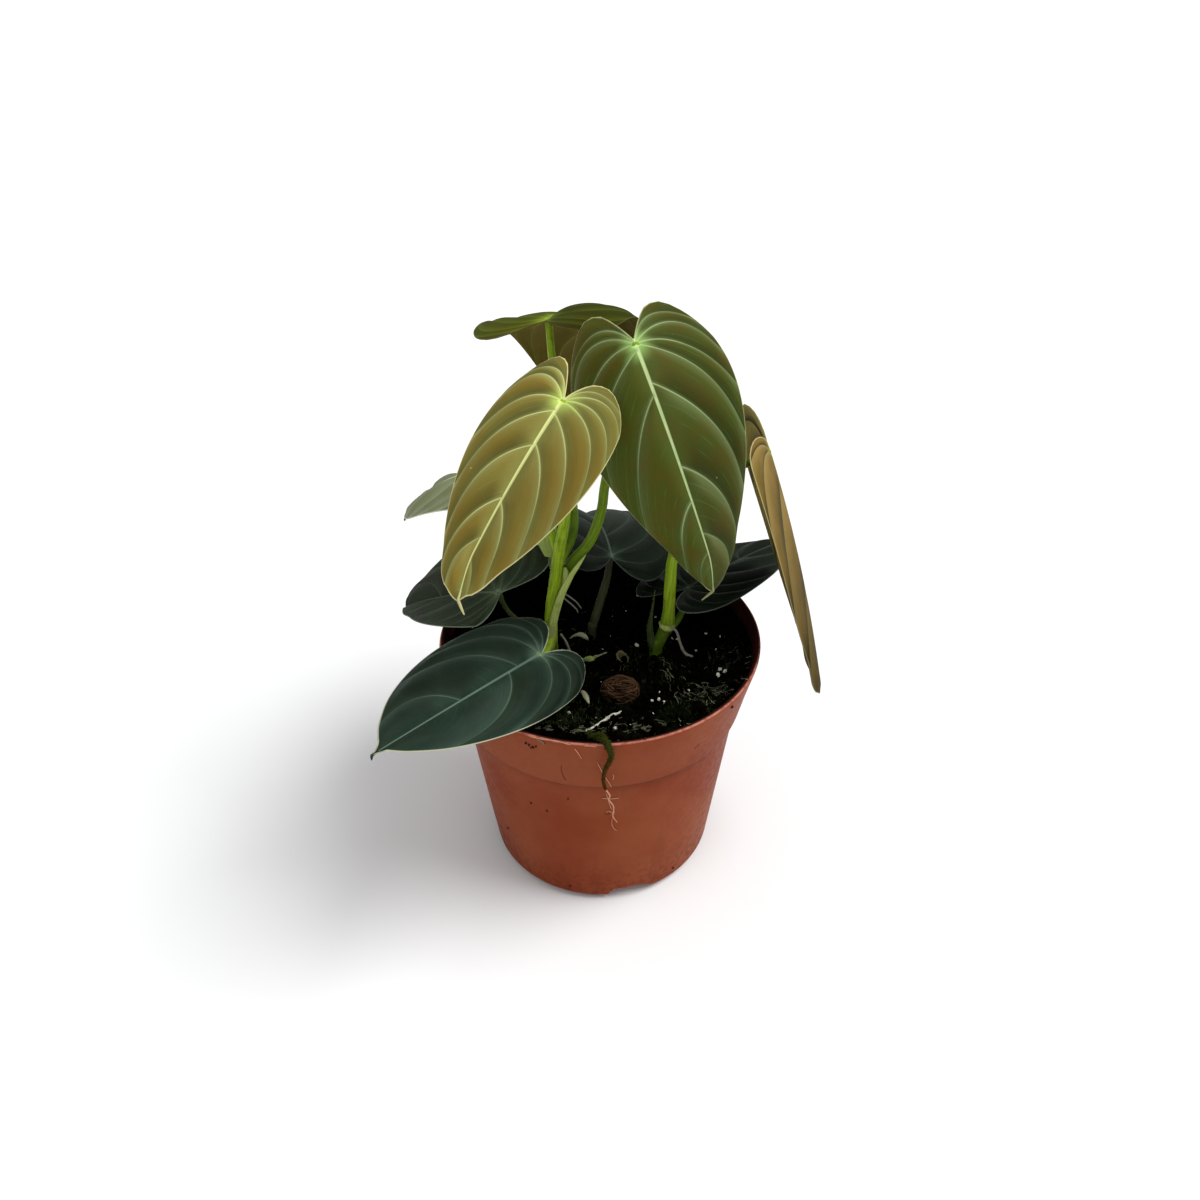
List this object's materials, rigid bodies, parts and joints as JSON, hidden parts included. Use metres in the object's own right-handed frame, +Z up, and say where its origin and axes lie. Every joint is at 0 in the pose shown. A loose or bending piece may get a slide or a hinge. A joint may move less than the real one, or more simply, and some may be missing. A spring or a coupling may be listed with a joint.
{
  "type": "potted house plant",
  "caption": "Young black gold philodendron with velvety heart-shaped leaves on green stalks, standing in soil in a terracotta-coloured plastic nursery pot with a mossy root over its lip.",
  "frame": {"origin": "middle of the flat underside of the pot, on the surface it stands on", "axes": "+Z up, +X to the right and +Y to the back as seen from the plant's front"},
  "size_m": [0.1645, 0.1827, 0.2214],
  "materials": {
    "pot": "smooth thin moulded plastic, terracotta colour, slightly dusty",
    "soil": "damp dark peat with perlite grains and moss",
    "stem_green": "smooth fleshy stalk, fresh green",
    "stem_shaded": "smooth fleshy stalk, grey green",
    "leaf_gold": "velvety leaf, golden brown, pale yellow-green veins",
    "leaf_olive": "velvety leaf, olive green, pale yellow-green veins",
    "leaf_grey": "velvety leaf, grey green, pale veins",
    "leaf_dark": "velvety leaf, dark blue green, pale veins and margin",
    "bark": "rough fibrous brown chip",
    "stub": "dull olive dried stub",
    "root": "thin pale root",
    "moss": "root clad in dark green moss"
  },
  "bodies": {
    "root": {"pot": "pot", "soil": "soil", "stem_left": "stem_green", "stem_right": "stem_green", "stem_back": "stem_shaded", "leaf_gold_front": "leaf_gold", "leaf_olive_large": "leaf_olive", "leaf_top_back": "leaf_olive", "leaf_gold_side": "leaf_gold", "leaf_left_small": "leaf_grey", "leaf_dark_left": "leaf_dark", "leaf_dark_front": "leaf_dark", "leaf_dark_back": "leaf_dark", "leaf_dark_right": "leaf_dark", "petiole_stub": "stub", "bark_chip": "bark", "root_left": "root", "root_right": "root", "root_white": "root", "rim_root": "moss", "rim_rootlets": "root"}
  },
  "joints": []
}
